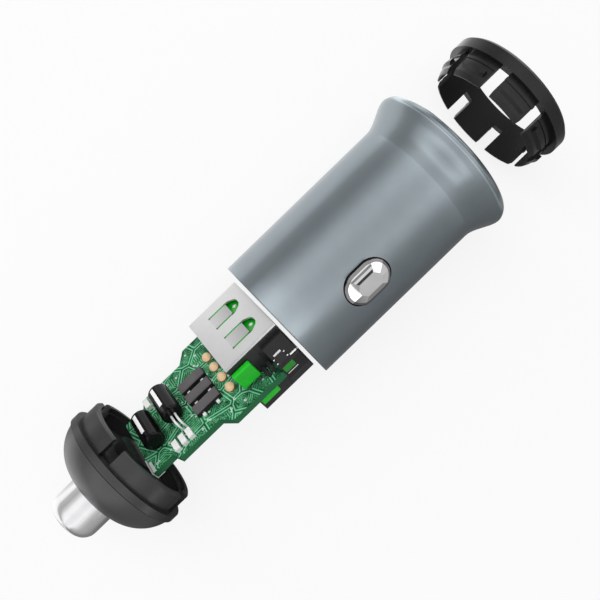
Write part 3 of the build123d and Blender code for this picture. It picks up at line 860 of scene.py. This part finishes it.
# Choke coil. A ferrite spool under the board, wound with enamelled copper wire.

ferrite = moulded("ferrite", (0.035, 0.034, 0.036), (0.055, 0.053, 0.055), 0.6, 0.3)
paint(ferrite, "coil_core")
enamel = Finish("enamelled_copper")
shade = enamel.noise(0.6)
enamelled = enamel.surface(
    Base_Color=enamel.ramp(shade, (0.3, (0.5, 0.17, 0.06)), (0.7, (0.65, 0.26, 0.1))),
    Metallic=0.8, Roughness=0.22 + 0.1 * shade, Coat_Weight=0.5)
paint(enamelled, "coil_winding")


def node_rule(name, sizes, material):
    """A Geometry Nodes tree with named sizes: the tree, its inputs, a node maker and its end."""
    tree = bpy.data.node_groups.new(name, "GeometryNodeTree")
    tree.interface.new_socket("Geometry", in_out="INPUT", socket_type="NodeSocketGeometry")
    for size_name, kind, _ in sizes:
        tree.interface.new_socket(size_name, in_out="INPUT", socket_type=kind)
    tree.interface.new_socket("Geometry", in_out="OUTPUT", socket_type="NodeSocketGeometry")
    given = tree.nodes.new("NodeGroupInput")

    def step(kind, **inputs):
        """A node of that kind. Its sockets are set or linked by name."""
        made = tree.nodes.new("GeometryNode" + kind)
        for key, item in inputs.items():
            socket = made.inputs[key.replace("_", " ")]
            if hasattr(item, "is_linked"):
                tree.links.new(item, socket)
            else:
                socket.default_value = item
        return made.outputs[0]

    def close(geometry):
        """Makes the copies real and gives them the material."""
        real = step("RealizeInstances", Geometry=geometry)
        painted = step("SetMaterial", Geometry=real, Material=material)
        tree.links.new(painted, tree.nodes.new("NodeGroupOutput").inputs[0])

    return tree, given.outputs, step, close


def board_points(name, spots):
    """Loose points on the board, in mm, as a mesh."""
    lay = Matrix.Rotation(-board_turn, 3, "X")
    mesh = bpy.data.meshes.new(name)
    mesh.from_pydata([
        lay @ (Vector((-place, -across, height)) * MM) for place, across, height in spots], [], [])
    return mesh


def grown(name, mesh, tree, sizes):
    """Runs a tree on a mesh, keeps the result as a plain mesh and joins it to the charger."""
    seed = bpy.data.objects.new(name + "_seed", mesh)
    bpy.context.collection.objects.link(seed)
    rule = seed.modifiers.new(name, "NODES")
    rule.node_group = tree
    names = {item.name: item.identifier for item in tree.interface.items_tree
             if item.in_out == "INPUT"}
    for size_name, _, size in sizes:
        rule[names[size_name]] = size
    evaluated = seed.evaluated_get(bpy.context.evaluated_depsgraph_get())
    result = bpy.data.meshes.new_from_object(evaluated)
    seed.modifiers.clear()
    bpy.data.objects.remove(seed)
    result.name = name
    piece = bpy.data.objects.new(name, result)
    bpy.context.collection.objects.link(piece)
    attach(piece, "charger")


wire_sizes = [
    ("Turn radius", "NodeSocketFloat", 2.69 * MM), ("Wire radius", "NodeSocketFloat", 0.155 * MM)]
winding_tree, given, step, close = node_rule("winding_rule", wire_sizes, enamelled)
turn_circle = step("CurvePrimitiveCircle", Resolution=48, Radius=given["Turn radius"])
wire_section = step("CurvePrimitiveCircle", Resolution=8, Radius=given["Wire radius"])
loop = step("CurveToMesh", Curve=turn_circle, Profile_Curve=wire_section)
close(step("SetShadeSmooth", Geometry=step(
    "InstanceOnPoints", Points=given["Geometry"], Instance=loop, Rotation=(-board_turn, 0, 0))))
coil_place, coil_across = 18.9, -2.6
turn_count, first_turn, last_turn = 7, -1.4, -3.26
turn_pitch = (last_turn - first_turn) / (turn_count - 1)
winding_spots = board_points("winding_spots", [
    (coil_place, coil_across, first_turn + turn_pitch * number) for number in range(turn_count)])
grown("coil_turns", winding_spots, winding_tree, wire_sizes)


# Plated holes. Small tinned rings where a track passes from one face of the board to the
# other, scattered where no part covers the lacquer.

ring_sizes = [
    ("Ring radius", "NodeSocketFloat", 0.16 * MM), ("Ring section", "NodeSocketFloat", 0.05 * MM)]
hole_tree, given, step, close = node_rule("plated_hole_rule", ring_sizes, tinned_face)
ring_circle = step("CurvePrimitiveCircle", Resolution=14, Radius=given["Ring radius"])
ring_section = step("CurvePrimitiveCircle", Resolution=6, Radius=given["Ring section"])
ring = step("CurveToMesh", Curve=ring_circle, Profile_Curve=ring_section)
close(step("SetShadeSmooth", Geometry=step(
    "InstanceOnPoints", Points=given["Geometry"], Instance=ring, Rotation=(-board_turn, 0, 0))))
draw = random.Random(7)
stray = 0.15
clear_spots = (
    (12.2, 6.2), (13.2, 7.4), (10.9, 7.9), (16.6, 5.9), (18.4, 6.3), (19.1, -5.9),
    (17.2, -5.6), (12.9, -6.4), (13.8, -4.9), (26.6, 4.9), (26.9, -3.6), (23.6, 3.6),
    (18.7, 2.6), (22.6, -4.2), (5.4, 8.1), (6.3, 7.6),
)
hole_spots = board_points("plated_hole_spots", [
    (place - draw.uniform(-stray, stray), across - draw.uniform(-stray, stray), face * board_half)
    for place, across in clear_spots for face in (-1, 1)])
grown("plated_holes", hole_spots, hole_tree, ring_sizes)
